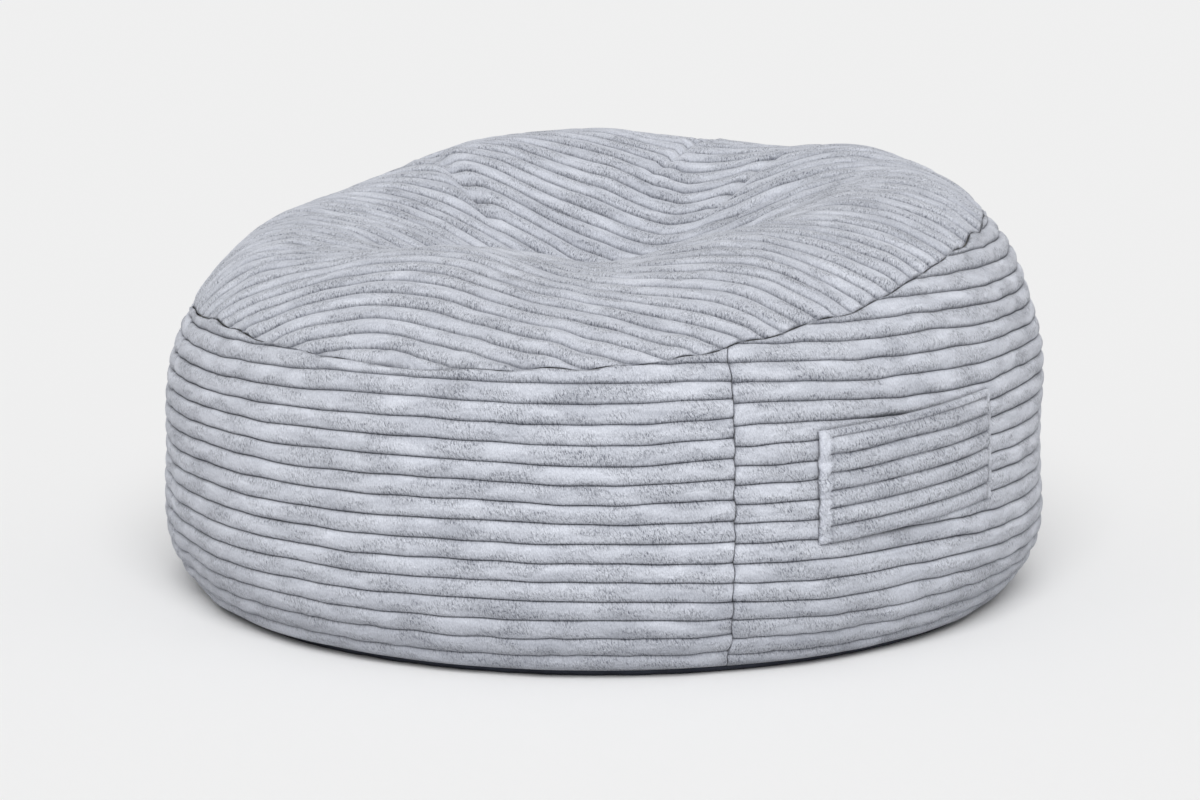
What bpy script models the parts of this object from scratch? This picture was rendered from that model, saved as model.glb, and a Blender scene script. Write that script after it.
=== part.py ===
"""Bean bag chair: a round jumbo-cord cover over a filled liner, with a side pocket and two base zips."""
import math

import bmesh
import bpy
from mathutils import Matrix, Vector

# Bag. Angles are turned about +Z from the front (-Y) towards +X, and heights are above the floor.
BAG_RADIUS = 0.540
WIDEST_HEIGHT = 0.176
FOOT_RADIUS = 0.488
FOOT_SPREAD = 0.026            # how much further out the foot is at the front
FOOT_SPREAD_ANGLE = 22.0
FOOT_CURVE = 4.3
WALL_CURVE = 2.8
SHOULDER_CURVE = 2.2
SEAM_RADIUS = 0.516
SEAM_LOW = 0.341
SEAM_DRAW_IN = 0.42            # how far the top seam draws in for each metre that it rises
SEAM_LEAN = 0.010              # how far the low side leans in
SEAM_LEAN_ANGLE = -75.0
HOLLOW_FLOOR = 0.345
STATION_STEP = 30.0            # the three lists below go round the bag in these steps from the front
SEAM_HEIGHTS = (0.335, 0.341, 0.382, 0.438, 0.460, 0.462, 0.458, 0.445, 0.402, 0.352, 0.346, 0.350)
CREST_RADII = (0.290, 0.240, 0.270, 0.320, 0.360, 0.370, 0.360, 0.330, 0.340, 0.340, 0.360, 0.360)
CREST_HEIGHTS = (0.434, 0.418, 0.448, 0.474, 0.500, 0.520, 0.514, 0.529, 0.517, 0.471, 0.446, 0.426)

# Layers, each at its depth under the outer surface of the cover.
COVER_THICKNESS = 0.0040
LINER_DEPTH = 0.0055
LINER_THICKNESS = 0.0010
FILLING_DEPTH = 0.0080
FIT_GAP = 0.0003
SEAM_GAP = 0.0005
DEPTH_IN = 0.8                 # share of a layer's depth by which it draws in at the top seam
DEPTH_DOWN = 0.7               # share of a layer's depth by which it drops at the top seam

# Base and its levels.
BASE_THICKNESS = 0.0040
LINER_BASE_LEVEL = 0.0085
FILLING_LEVEL = 0.0135

# Pocket on the +X side.
POCKET_ANGLES = (55.2, 83.6)
POCKET_BOTTOM = (0.142, 0.160)
POCKET_TOP = (0.266, 0.286)
POCKET_THICKNESS = 0.0035
POCKET_SEWN_GAP = 0.0005
POCKET_MOUTH_GAP = 0.0120
POCKET_SIDE_CURVE = 0.60       # how quickly the pocket fills out from its sewn sides
POCKET_RISE_CURVE = 0.35       # and from its sewn bottom

# Zips. The slider's plates lie above and below the tapes, and its post runs between the coils.
COVER_ZIP_LENGTH = 0.760
LINER_ZIP_LENGTH = 0.600
LINER_ZIP_Y = 0.100
SLOT_HALF_WIDTH = 0.0060
TAPE_WIDTH = 0.020
TAPE_THICKNESS = 0.0008
TAPE_EDGE = 0.0016
COIL_INNER = 0.0008
COIL_OUTER = 0.0035
COIL_HEIGHT = 0.0012
SLIDER_LENGTH = 0.014
SLIDER_HALF_WIDTH = 0.0047
PLATE_THICKNESS = 0.0014
POST_HALF_WIDTH = 0.0005
PLATE_GAP = 0.0004
FLANGE_INNER = 0.0039
STOP_LENGTH = 0.004

# Care label on the back of the other side.
LABEL_ANGLE = 229.0
LABEL_LEVEL = 0.125
LABEL_SIZE = (0.034, 0.0006, 0.050)
LABEL_GAP = 0.0006

# Fineness of the grids.
GRID = 12
ROW_SPREAD = 1.4               # brings the wall's rows closer together towards the foot
POCKET_GRID = (10, 5)
ARC_POINTS = 25

COLOURS = {
    "plush_cord": ((0.46, 0.49, 0.56), 0.95),
    "base_cloth": ((0.020, 0.024, 0.045), 0.85),
    "zip_tape": ((0.025, 0.028, 0.045), 0.80),
    "zip_coil": ((0.030, 0.032, 0.050), 0.45),
    "zip_metal": ((0.30, 0.30, 0.32), 0.35),
    "liner_cloth": ((0.72, 0.72, 0.70), 0.85),
    "filling": ((0.86, 0.84, 0.78), 0.95),
    "label": ((0.85, 0.85, 0.84), 0.70),
}


def clear_scene():
    for obj in list(bpy.data.objects):
        bpy.data.objects.remove(obj, do_unlink=True)


def material(name):
    colour, roughness = COLOURS[name]
    made = bpy.data.materials.new(name)
    made.use_nodes = True
    shader = made.node_tree.nodes["Principled BSDF"]
    shader.inputs["Base Color"].default_value = (*colour, 1.0)
    shader.inputs["Roughness"].default_value = roughness
    shader.inputs["Metallic"].default_value = 0.9 if name == "zip_metal" else 0.0
    return made


# --- the bag's outer form ---

def around(stations, angle):
    """A smooth closed curve through the stations, read at an angle in degrees."""
    place = (angle % 360.0) / STATION_STEP
    first = int(place)
    t = place - first
    a, b, c, d = (stations[(first + k) % len(stations)] for k in (-1, 0, 1, 2))
    return 0.5 * (2 * b + (c - a) * t + (2 * a - 5 * b + 4 * c - d) * t ** 2
                  + (3 * b - a - 3 * c + d) * t ** 3)


def facing(angle, towards):
    """1 where an angle faces the given direction, falling to 0 a quarter turn away."""
    return max(0.0, math.cos(math.radians(angle - towards)))


def seam_height(angle, depth=0.0):
    return around(SEAM_HEIGHTS, angle) - DEPTH_DOWN * depth


def seam_radius(angle, depth=0.0):
    rise = max(0.0, around(SEAM_HEIGHTS, angle) - SEAM_LOW)
    lean = SEAM_LEAN * facing(angle, SEAM_LEAN_ANGLE) ** 2
    return SEAM_RADIUS - SEAM_DRAW_IN * rise - lean - DEPTH_IN * depth


def foot_radius(angle, depth=0.0):
    return FOOT_RADIUS + FOOT_SPREAD * facing(angle, FOOT_SPREAD_ANGLE) ** 2 - depth


def wall_radius(angle, height, depth=0.0):
    widest = BAG_RADIUS - depth
    if height < WIDEST_HEIGHT:
        below = (WIDEST_HEIGHT - height) / WIDEST_HEIGHT
        return widest - (widest - foot_radius(angle, depth)) * below ** FOOT_CURVE
    above = (height - WIDEST_HEIGHT) / (seam_height(angle, depth) - WIDEST_HEIGHT)
    return widest - (widest - seam_radius(angle, depth)) * above ** WALL_CURVE


def top_height(angle, radius, depth=0.0):
    crest_radius = around(CREST_RADII, angle)
    crest = around(CREST_HEIGHTS, angle) - depth
    if radius > crest_radius:
        out = (radius - crest_radius) / (seam_radius(angle, depth) - crest_radius)
        return crest - (crest - seam_height(angle, depth)) * out ** SHOULDER_CURVE
    share = radius / crest_radius
    floor = HOLLOW_FLOOR - depth
    return floor + (crest - floor) * share * share * (3 - 2 * share)


def polar(angle, radius, height):
    turn = math.radians(angle)
    return Vector((radius * math.sin(turn), -radius * math.cos(turn), height))


def disc(u, v):
    """Angle and share of the radius for a point of a square grid that is drawn onto a round disc."""
    x = u * math.sqrt(1 - v * v / 2)
    y = v * math.sqrt(1 - u * u / 2)
    return math.degrees(math.atan2(x, -y)), min(1.0, math.hypot(x, y))


def top_point(u, v, depth):
    angle, share = disc(u, v)
    radius = share * seam_radius(angle, depth)
    return polar(angle, radius, top_height(angle, radius, depth))


def wall_point(angle, share, depth, bottom):
    height = bottom + share ** ROW_SPREAD * (seam_height(angle, depth) - SEAM_GAP - bottom)
    return polar(angle, wall_radius(angle, height, depth), height)


# --- helpers that turn grids and outlines into objects ---

def add_object(name, mesh, mat, collection, smooth=True):
    mesh.materials.append(mat)
    if smooth:
        mesh.shade_smooth()
        mesh.set_sharp_from_angle(angle=math.radians(40))
    obj = bpy.data.objects.new(name, mesh)
    collection.objects.link(obj)
    return obj


def add_bmesh(name, bm, mat, collection, smooth=True):
    bmesh.ops.recalc_face_normals(bm, faces=bm.faces)
    mesh = bpy.data.meshes.new(name)
    bm.to_mesh(mesh)
    bm.free()
    return add_object(name, mesh, mat, collection, smooth)


def shell(name, columns, rows, outer, inner, mat, collection):
    """A skin between two surfaces, each given as a point for every place of a square grid."""
    bm = bmesh.new()
    bmesh.ops.create_grid(bm, x_segments=columns, y_segments=rows, size=1.0)
    copied = bmesh.ops.extrude_face_region(bm, geom=bm.faces[:])["geom"]
    raised = {item for item in copied if isinstance(item, bmesh.types.BMVert)}
    for vert in bm.verts:
        place = outer if vert in raised else inner
        vert.co = place(vert.co.x, vert.co.y)
    return add_bmesh(name, bm, mat, collection)


def plate(name, outline, low, high, mat, collection):
    """A flat piece with the given outline, between two heights."""
    bm = bmesh.new()
    face = bm.faces.new([bm.verts.new((x, y, low)) for x, y in outline])
    copied = bmesh.ops.extrude_face_region(bm, geom=[face])["geom"]
    raised = [item for item in copied if isinstance(item, bmesh.types.BMVert)]
    bmesh.ops.translate(bm, verts=raised, vec=(0, 0, high - low))
    return add_bmesh(name, bm, mat, collection, smooth=False)


def block(name, low, high, mat, collection):
    """A plain box between two corners."""
    bm = bmesh.new()
    bmesh.ops.create_cube(bm, size=1.0)
    size = Vector(high) - Vector(low)
    centre = (Vector(high) + Vector(low)) / 2
    bmesh.ops.scale(bm, verts=bm.verts, vec=size)
    obj = add_bmesh(name, bm, mat, collection, smooth=False)
    obj.location = centre
    return obj


# --- cover ---

def seat_panel(mat, collection):
    shell("seat_panel", GRID, GRID, lambda u, v: top_point(u, v, 0.0),
          lambda u, v: top_point(u, v, COVER_THICKNESS), mat, collection)


def wall_panel(name, centre, mat, collection):
    edge = 1 - math.degrees(FIT_GAP / BAG_RADIUS) / 90.0

    def place(u, v, depth):
        angle = centre + edge * disc(u, -1.0)[0]
        return wall_point(angle, (v + 1) / 2, depth, BASE_THICKNESS + FIT_GAP)

    shell(name, GRID, GRID, lambda u, v: place(u, v, 0.0),
          lambda u, v: place(u, v, COVER_THICKNESS), mat, collection)


def pocket_point(u, v, thickness):
    across = (u + 1) / 2
    up = (v + 1) / 2
    angle = POCKET_ANGLES[0] + across * (POCKET_ANGLES[1] - POCKET_ANGLES[0])
    bottom = POCKET_BOTTOM[0] + across * (POCKET_BOTTOM[1] - POCKET_BOTTOM[0])
    top = POCKET_TOP[0] + across * (POCKET_TOP[1] - POCKET_TOP[0])
    height = bottom + up * (top - bottom)
    fullness = (4 * across * (1 - across)) ** POCKET_SIDE_CURVE * up ** POCKET_RISE_CURVE
    stand_off = POCKET_SEWN_GAP + POCKET_MOUTH_GAP * fullness + thickness
    return polar(angle, wall_radius(angle, height) + stand_off, height)


def side_pocket(mat, collection):
    shell("side_pocket", *POCKET_GRID, lambda u, v: pocket_point(u, v, POCKET_THICKNESS),
          lambda u, v: pocket_point(u, v, 0.0), mat, collection)


def base_half(name, side, slit_y, slit_length, depth, low, high, mat, collection):
    """One half of a round base, from its slit outwards, with a slot for the zip; side is -1 in front."""
    reach = math.degrees(math.asin(slit_y / foot_radius(90.0)))
    start, end = (-90 - reach, 90 + reach) if side < 0 else (90 + reach, 270 - reach)
    step = (end - start) / (ARC_POINTS - 1)
    rim = [polar(start + k * step, foot_radius(start + k * step, depth), 0).xy for k in range(ARC_POINTS)]
    meet = slit_y + side * FIT_GAP / 2
    slot = slit_y + side * SLOT_HALF_WIDTH
    rim[0].y = meet
    rim[-1].y = meet
    first = 1 if rim[-1].x > 0 else -1
    half = slit_length / 2
    notch = [(first * half, meet), (first * half, slot), (-first * half, slot), (-first * half, meet)]
    plate(name, [tuple(p) for p in rim] + notch, low, high, mat, collection)


def base_panels(mat, collection):
    for name, side in (("base_panel_front", -1), ("base_panel_back", 1)):
        base_half(name, side, 0.0, COVER_ZIP_LENGTH, 0.0, 0.0, BASE_THICKNESS, mat, collection)


def care_label(mat, collection):
    label = block("care_label", [-size / 2 for size in LABEL_SIZE], [size / 2 for size in LABEL_SIZE],
                  mat, collection)
    stand_off = LABEL_GAP + LABEL_SIZE[1] / 2
    label.location = polar(LABEL_ANGLE, wall_radius(LABEL_ANGLE, LABEL_LEVEL) + stand_off, LABEL_LEVEL)
    label.rotation_euler = (0, 0, math.radians(LABEL_ANGLE))


# --- liner and filling ---

def liner(mat, collection):
    inner_depth = LINER_DEPTH + LINER_THICKNESS
    shell("liner_top", GRID, GRID, lambda u, v: top_point(u, v, LINER_DEPTH),
          lambda u, v: top_point(u, v, inner_depth), mat, collection)
    bottom = LINER_BASE_LEVEL + LINER_THICKNESS + FIT_GAP
    bm = bmesh.new()
    bmesh.ops.create_cube(bm, size=2.0)
    lids = [face for face in bm.faces if abs(face.normal.z) > 0.5]
    bmesh.ops.delete(bm, geom=lids, context="FACES_ONLY")
    bmesh.ops.subdivide_edges(bm, edges=bm.edges[:], cuts=GRID - 1, use_grid_fill=True)
    copied = bmesh.ops.extrude_face_region(bm, geom=bm.faces[:])["geom"]
    raised = {item for item in copied if isinstance(item, bmesh.types.BMVert)}
    for vert in bm.verts:
        depth = LINER_DEPTH if vert in raised else inner_depth
        angle, _ = disc(vert.co.x, vert.co.y)
        vert.co = wall_point(angle, (vert.co.z + 1) / 2, depth, bottom)
    add_bmesh("liner_wall", bm, mat, collection)
    for name, side in (("liner_base_front", -1), ("liner_base_back", 1)):
        base_half(name, side, LINER_ZIP_Y, LINER_ZIP_LENGTH, LINER_DEPTH, LINER_BASE_LEVEL,
                  LINER_BASE_LEVEL + LINER_THICKNESS, mat, collection)


def filling(mat, collection):
    bm = bmesh.new()
    bmesh.ops.create_cube(bm, size=2.0)
    bmesh.ops.subdivide_edges(bm, edges=bm.edges[:], cuts=GRID - 1, use_grid_fill=True)
    for vert in bm.verts:
        angle, share = disc(vert.co.x, vert.co.y)
        if vert.co.z > 1 - 1e-4:
            vert.co = top_point(vert.co.x, vert.co.y, FILLING_DEPTH)
            continue
        side = wall_point(angle, (vert.co.z + 1) / 2, FILLING_DEPTH, FILLING_LEVEL)
        vert.co = Vector((share * side.x, share * side.y, side.z))
    add_bmesh("filling", bm, mat, collection)


# --- zips ---

def slider_outline(tape_level):
    """The slider's section across the zip: two plates, the post between them and two side flanges."""
    coil_low = tape_level - FIT_GAP - COIL_HEIGHT
    low_top = coil_low - PLATE_GAP
    low = low_top - PLATE_THICKNESS
    high_bottom = tape_level + TAPE_THICKNESS + PLATE_GAP
    high = high_bottom + PLATE_THICKNESS
    flange_top = tape_level - PLATE_GAP - FIT_GAP
    right = [(SLIDER_HALF_WIDTH, low), (SLIDER_HALF_WIDTH, flange_top), (FLANGE_INNER, flange_top),
             (FLANGE_INNER, low_top), (POST_HALF_WIDTH, low_top), (POST_HALF_WIDTH, high_bottom),
             (SLIDER_HALF_WIDTH, high_bottom), (SLIDER_HALF_WIDTH, high)]
    return right + [(-y, z) for y, z in reversed(right)]


def slider(name, end_x, slit_y, tape_level, mat, collection):
    """The slider at its closed end; its object sits on the zip's line, which is its joint's axis."""
    bm = bmesh.new()
    outline = slider_outline(tape_level)
    face = bm.faces.new([bm.verts.new((-SLIDER_LENGTH / 2, y, z - tape_level)) for y, z in outline])
    copied = bmesh.ops.extrude_face_region(bm, geom=[face])["geom"]
    raised = [item for item in copied if isinstance(item, bmesh.types.BMVert)]
    bmesh.ops.translate(bm, verts=raised, vec=(SLIDER_LENGTH, 0, 0))
    obj = add_bmesh(name, bm, mat, collection, smooth=False)
    obj.location = (end_x - SLIDER_LENGTH / 2, slit_y, tape_level)


def zip_fastener(prefix, length, slit_y, tape_level, mats, collection):
    """Tapes, coils, end stops and slider of a straight zip along X, closed, seen from below."""
    half = length / 2
    for side, word in ((-1, "front"), (1, "back")):
        across = sorted((slit_y + side * TAPE_EDGE, slit_y + side * (TAPE_EDGE + TAPE_WIDTH)))
        block(f"{prefix}_tape_{word}", (-half, across[0], tape_level),
              (half, across[1], tape_level + TAPE_THICKNESS), mats["zip_tape"], collection)
        across = sorted((slit_y + side * COIL_INNER, slit_y + side * COIL_OUTER))
        coil_half = half - STOP_LENGTH - FIT_GAP
        block(f"{prefix}_coil_{word}", (-coil_half, across[0], tape_level - FIT_GAP - COIL_HEIGHT),
              (coil_half, across[1], tape_level - FIT_GAP), mats["zip_coil"], collection)
    for side, word in ((-1, "left"), (1, "right")):
        ends = sorted((side * (half - FIT_GAP), side * (half - STOP_LENGTH)))
        block(f"{prefix}_stop_{word}",
              (ends[0], slit_y - COIL_OUTER, tape_level - FIT_GAP - COIL_HEIGHT - PLATE_GAP),
              (ends[1], slit_y + COIL_OUTER, tape_level - FIT_GAP), mats["zip_metal"], collection)
    slider(f"{prefix}_slider", half - STOP_LENGTH - FIT_GAP, slit_y, tape_level, mats["zip_metal"],
           collection)


def build():
    clear_scene()
    collection = bpy.data.collections.new("bean_bag_chair")
    bpy.context.scene.collection.children.link(collection)
    mats = {name: material(name) for name in COLOURS}
    seat_panel(mats["plush_cord"], collection)
    for name, centre in (("wall_panel_front", 0), ("wall_panel_pocket_side", 90),
                         ("wall_panel_back", 180), ("wall_panel_other_side", 270)):
        wall_panel(name, centre, mats["plush_cord"], collection)
    side_pocket(mats["plush_cord"], collection)
    base_panels(mats["base_cloth"], collection)
    care_label(mats["label"], collection)
    liner(mats["liner_cloth"], collection)
    filling(mats["filling"], collection)
    zip_fastener("base_zip", COVER_ZIP_LENGTH, 0.0, BASE_THICKNESS + FIT_GAP, mats, collection)
    zip_fastener("liner_zip", LINER_ZIP_LENGTH, LINER_ZIP_Y,
                 LINER_BASE_LEVEL + LINER_THICKNESS + FIT_GAP, mats, collection)


build()
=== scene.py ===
import math

import bmesh
import bpy
import numpy as np
from mathutils import Matrix, Vector, noise


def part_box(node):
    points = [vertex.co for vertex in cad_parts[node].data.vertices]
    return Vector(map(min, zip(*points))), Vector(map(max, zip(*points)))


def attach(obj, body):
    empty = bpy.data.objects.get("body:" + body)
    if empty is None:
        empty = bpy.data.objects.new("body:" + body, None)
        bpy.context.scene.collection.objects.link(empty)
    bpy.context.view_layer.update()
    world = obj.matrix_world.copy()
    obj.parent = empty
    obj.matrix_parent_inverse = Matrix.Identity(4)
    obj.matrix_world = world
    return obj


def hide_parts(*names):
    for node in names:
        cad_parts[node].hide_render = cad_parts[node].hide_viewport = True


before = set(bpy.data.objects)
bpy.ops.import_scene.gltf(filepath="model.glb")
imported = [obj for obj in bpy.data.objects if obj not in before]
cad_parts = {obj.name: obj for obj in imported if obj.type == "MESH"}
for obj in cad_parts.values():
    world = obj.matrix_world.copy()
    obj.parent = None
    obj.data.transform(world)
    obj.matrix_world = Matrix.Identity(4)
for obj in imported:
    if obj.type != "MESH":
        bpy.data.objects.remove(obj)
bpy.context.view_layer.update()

form = dict(
    bagRadius=0.540, widestHeight=0.176, footRadius=0.488, footSpread=0.026, footSpreadAngle=22.0,
    footCurve=4.3, wallCurve=2.8, shoulderCurve=2.2, seamRadius=0.516, seamLow=0.341, seamDrawIn=0.42,
    seamLean=0.010, seamLeanAngle=-75.0, hollowFloor=0.345, hemHeight=0.0065, seamGap=0.0005,
    seamDrift=0.0030, driftLength=0.085, middle=(0.0, 0.0, 0.2),
)
# stations every 30 degrees from the front, towards the pocket
seamHeights = np.array([0.335, 0.341, 0.382, 0.438, 0.460, 0.462, 0.458, 0.445, 0.402, 0.352, 0.346, 0.350])
crestRadii = np.array([0.290, 0.240, 0.270, 0.320, 0.360, 0.370, 0.360, 0.330, 0.340, 0.340, 0.360, 0.360])
crestHeights = np.array([0.434, 0.418, 0.448, 0.474, 0.500, 0.520, 0.514, 0.529, 0.517, 0.471, 0.446, 0.426])

cord = dict(
    pitch=0.0215, height=0.0062, sink=0.0034, thickness=0.0015, sharpness=2.2,
    rows=(0.0, 0.05, 0.14, 0.30, 0.5, 0.70, 0.86, 0.95),  # rows across one rib, closest in its groove
    endRound=0.0034, endHeight=0.35, underShadeFade=0.24,  # the ends, and the painted shade and ruffled pile low on a rib
    sideRound=0.0028, sideDip=0.5, wander=0.0010, wanderLength=0.060,
    lump=0.0032, lumpLength=0.19,
)


def around(stations, angle):  # a smooth closed curve through the stations
    place = (np.asarray(angle, float) % 360) / 30.0
    first = np.floor(place).astype(int)
    t = place - first
    a, b, c, d = (stations[(first + k) % len(stations)] for k in (-1, 0, 1, 2))
    return 0.5 * (2 * b + (c - a) * t + (2 * a - 5 * b + 4 * c - d) * t**2 + (3 * b - a - 3 * c + d) * t**3)


def facing(angle, towards):
    return np.maximum(0.0, np.cos(np.radians(np.asarray(angle) - towards)))


def seamHeight(angle):  # with the small wander of a seam sewn in thick pile
    turn = np.radians(angle)
    ring = np.stack([np.sin(turn), np.cos(turn)], -1) * form["seamRadius"]
    return around(seamHeights, angle) + form["seamDrift"] * waves(ring, form["driftLength"], 5)


def seamRadius(angle):
    drawnIn = form["seamDrawIn"] * np.maximum(0.0, seamHeight(angle) - form["seamLow"])
    return form["seamRadius"] - drawnIn - form["seamLean"] * facing(angle, form["seamLeanAngle"]) ** 2


def footRadius(angle):
    return form["footRadius"] + form["footSpread"] * facing(angle, form["footSpreadAngle"]) ** 2


def wallRadius(angle, height):
    widest, level = form["bagRadius"], form["widestHeight"]
    below = np.clip((level - height) / level, 0, 1) ** form["footCurve"]
    above = np.clip((height - level) / (seamHeight(angle) - level), 0, 1.1) ** form["wallCurve"]
    return widest - (widest - footRadius(angle)) * below - (widest - seamRadius(angle)) * above


def topHeight(x, y):
    angle, radius = np.degrees(np.arctan2(x, -y)), np.hypot(x, y)
    crest, crestAt = around(crestHeights, angle), around(crestRadii, angle)
    outer = np.clip((radius - crestAt) / (seamRadius(angle) - crestAt), 0, 1.25)
    shoulder = crest - (crest - seamHeight(angle)) * outer ** form["shoulderCurve"]
    share = np.clip(radius / crestAt, 0, 1)
    bowl = form["hollowFloor"] + (crest - form["hollowFloor"]) * share**2 * (3 - 2 * share)
    return np.where(radius > crestAt, shoulder, bowl)


def waves(points, length, seed, count=14):  # smooth noise, about -1 to 1, from seeded plane waves
    rng = np.random.default_rng(seed)
    ways = rng.normal(size=(count, points.shape[-1]))
    ways /= np.linalg.norm(ways, axis=1)[:, None]
    rates = 2 * math.pi / (length * rng.uniform(0.7, 1.5, count))
    phases = rng.uniform(0, 2 * math.pi, count)
    total = np.zeros(points.shape[:-1])
    for way, rate, phase in zip(ways, rates, phases):
        total += np.sin(points @ way * rate + phase)
    return total / math.sqrt(2 * count)


def softLump(points):  # the same slow unevenness in every layer
    return cord["lump"] * waves(points, cord["lumpLength"], 11)


def ribAcross(place, pitch):  # 1 in a groove, 0 on a crown
    share = place / pitch
    return np.abs(2 * (share - np.floor(share)) - 1)


def ribRise(place, pitch):
    return np.sqrt(np.clip(1 - ribAcross(place, pitch) ** cord["sharpness"], 0, 1))


def ribUnderShade(place, pitch):  # painted shade under a rib: 1 beside the groove below a rib, fading up the rib
    share = place / pitch
    return np.exp(-(share - np.floor(share)) / cord["underShadeFade"])


def ribHeightNear(end):  # the share of a rib's height that is left towards its end
    return cord["endHeight"] + (1 - cord["endHeight"]) * end


def rounded(distance, width):  # 0 at an edge, 1 from width inwards, as a round end
    return np.sqrt(np.clip(1 - (1 - np.clip(distance / width, 0, 1)) ** 2, 0, 1))


def ribRows(low, high, pitch):
    first, last = math.floor(low / pitch), math.ceil(high / pitch)
    rows = [(k + share) * pitch for k in range(first, last) for share in cord["rows"]]
    return np.array([row for row in rows if low < row < high])


def gridObject(name, points, uv, layers=None, inside=form["middle"], thickness=None):
    rows, columns = points.shape[:2]
    bm = bmesh.new()
    bmesh.ops.create_grid(bm, x_segments=columns - 1, y_segments=rows - 1, size=0.5)
    uvLayer = bm.loops.layers.uv.new("cord")
    floats = {key: bm.verts.layers.float.new(key) for key in (layers or {})}
    places = {}
    for vert in bm.verts:
        i = round((vert.co.x + 0.5) * (columns - 1))
        j = round((vert.co.y + 0.5) * (rows - 1))
        places[vert] = (j, i)
    for vert, (j, i) in places.items():
        vert.co = points[j, i]
        for key, layer in floats.items():
            vert[layer] = float(layers[key][j, i])
    for face in bm.faces:
        for corner in face.loops:
            corner[uvLayer].uv = uv[places[corner.vert]]
    bmesh.ops.remove_doubles(bm, verts=bm.verts, dist=0.00002)
    bmesh.ops.dissolve_degenerate(bm, edges=bm.edges, dist=0.00001)
    outward = 0.0
    for face in bm.faces:
        away = face.calc_center_median() - Vector(inside)
        outward += face.normal.dot(away) * face.calc_area()
    if outward < 0:
        bmesh.ops.reverse_faces(bm, faces=bm.faces)
    return meshObject(name, bm, thickness)


def meshObject(name, bm, thickness=None, smooth=True):
    mesh = bpy.data.meshes.new(name)
    bm.to_mesh(mesh)
    bm.free()
    if smooth:
        mesh.shade_smooth()
    piece = bpy.data.objects.new(name, mesh)
    bpy.context.scene.collection.objects.link(piece)
    if thickness:
        solid = piece.modifiers.new("thickness", "SOLIDIFY")
        solid.thickness = thickness
        solid.offset = -1.0
        solid.use_even_offset = False
    return piece


# Shared effects for the materials

def newGroup(name, inputs, outputs):
    group = bpy.data.node_groups.new(name, "ShaderNodeTree")
    for label, kind, value in inputs:
        socket = group.interface.new_socket(name=label, in_out="INPUT", socket_type=kind)
        socket.default_value = value
    for label in outputs:
        group.interface.new_socket(name=label, in_out="OUTPUT", socket_type="NodeSocketFloat")
    return group, group.nodes.new("NodeGroupInput"), group.nodes.new("NodeGroupOutput")


def mathNode(tree, operation, first, second=None, third=None, clamp=False):
    node = tree.nodes.new("ShaderNodeMath")
    node.operation = operation
    node.use_clamp = clamp
    for socket, value in zip(node.inputs, (first, second, third)):
        if value is None:
            continue
        if isinstance(value, (int, float)):
            socket.default_value = value
        else:
            tree.links.new(value, socket)
    return node.outputs[0]


def sizedNoise(tree, vector, size, detail=2.0, roughness=0.5, distortion=0.0, turn=0.0):
    mapping = tree.nodes.new("ShaderNodeMapping")
    mapping.vector_type = "TEXTURE"
    mapping.inputs["Scale"].default_value = size
    mapping.inputs["Rotation"].default_value = (0, 0, math.radians(turn))
    tree.links.new(vector, mapping.inputs["Vector"])
    texture = tree.nodes.new("ShaderNodeTexNoise")
    texture.inputs["Scale"].default_value = 1.0
    texture.inputs["Detail"].default_value = detail
    texture.inputs["Roughness"].default_value = roughness
    texture.inputs["Distortion"].default_value = distortion
    tree.links.new(mapping.outputs["Vector"], texture.inputs["Vector"])
    return texture.outputs["Fac"]


# Brushed pile: slow patches, ruffled places, slanted hairs that part over the backing, and painted shade low
# on each rib
pile = dict(
    patchSize=(0.075, 0.021, 0.034), placeSize=(0.052, 0.017, 0.030),
    strandSize=(0.0014, 0.0040, 0.0030), strandTurn=22.0, hairSize=(0.0010, 0.0027, 0.0018), hairTurn=-14.0,
    ruffledFrom=0.43, ruffledGain=6.0, lowSideRuffle=0.70, lowSideShade=-0.14,
    tone=0.74, strandLeast=0.35, hairTone=0.75, gapGain=-8.0, gapFrom=3.85, gapShade=-0.34,
    reliefGain=0.9, reliefLeast=0.5, hairRelief=0.5,
)


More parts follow.
